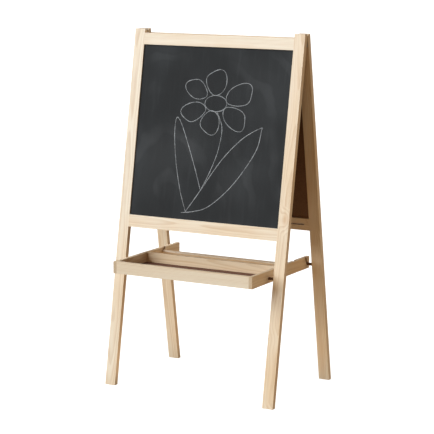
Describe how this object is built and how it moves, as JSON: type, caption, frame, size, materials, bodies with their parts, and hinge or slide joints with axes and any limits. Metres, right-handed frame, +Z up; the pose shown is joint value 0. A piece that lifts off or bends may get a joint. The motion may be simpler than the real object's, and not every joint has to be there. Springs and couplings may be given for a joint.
{
  "type": "children's folding easel",
  "caption": "Double-sided folding wooden easel for small children, with a chalkboard, a whiteboard, a swinging tray that braces the frames, and a lift-out paper rod.",
  "frame": {"origin": "middle of the overall box at floor level, on the plane that halves the easel left to right", "axes": "+Z up; +Y from the tray and chalkboard side towards the whiteboard side; +X to the right as seen from the chalkboard side"},
  "size_m": [0.62, 0.468, 1.1612],
  "materials": {
    "pine": "clear satin lacquer over planed pine, with grain, a few knots and softened edges",
    "rod_wood": "turned softwood dowel, clear satin lacquer",
    "tray_hardboard": "thin reddish-brown hardboard, smooth side up",
    "dowel_wood": "raw fluted beech",
    "chalkboard": "matt slate-grey chalkboard paint on brown hardboard, dusty with chalk",
    "whiteboard": "glossy white dry-wipe face on brown hardboard",
    "zinc_steel": "bright zinc-plated steel",
    "bronze_steel": "dark bronze coated steel, satin",
    "insert_brass": "plain turned brass"
  },
  "bodies": {
    "front_frame": {"front_leg_left": "pine", "front_leg_right": "pine", "front_top_rail": "pine", "front_bottom_rail": "pine", "chalkboard_panel": "chalkboard", "front_dowels": "dowel_wood", "front_hinge_leaf_left": "zinc_steel", "front_hinge_leaf_right": "zinc_steel", "front_hinge_screws": "zinc_steel", "hinge_pin_left": "zinc_steel", "hinge_pin_right": "zinc_steel", "pivot_pin_left": "bronze_steel", "pivot_pin_right": "bronze_steel", "pivot_spacer_left": "bronze_steel", "pivot_spacer_right": "bronze_steel", "front_insert_nuts": "insert_brass"},
    "rear_frame": {"rear_leg_left": "pine", "rear_leg_right": "pine", "rear_top_rail": "pine", "rear_bottom_rail": "pine", "whiteboard_panel": "whiteboard", "rear_dowels": "dowel_wood", "rear_hinge_leaf_left": "zinc_steel", "rear_hinge_leaf_right": "zinc_steel", "rear_hinge_screws": "zinc_steel", "rest_pin_left": "bronze_steel", "rest_pin_right": "bronze_steel", "rear_insert_nuts": "insert_brass"},
    "tray": {"tray_arm_left": "pine", "tray_arm_right": "pine", "tray_front_board": "pine", "tray_back_board": "pine", "tray_bottom_panel": "tray_hardboard", "tray_dowels": "dowel_wood"},
    "paper_rod": {"paper_rod": "rod_wood"}
  },
  "joints": [
    {"name": "frame_fold", "type": "hinge", "parent": "front_frame", "child": "rear_frame", "pos_m": [0, 0.01798, 1.1582], "axis": [-1, 0, 0], "range_deg": [0, 18.5]},
    {"name": "tray_swing", "type": "hinge", "parent": "front_frame", "child": "tray", "pos_m": [0, -0.12096, 0.40028], "axis": [-1, 0, 0], "range_deg": [0, 99]},
    {"name": "rod_lift", "type": "slide", "parent": "tray", "child": "paper_rod", "axis": [0, 0.7071, 0.7071], "range_m": [0, 0.03]}
  ],
  "couplings": [
    {"joint": "tray_swing", "follows": "frame_fold", "ratio": 5.35}
  ]
}
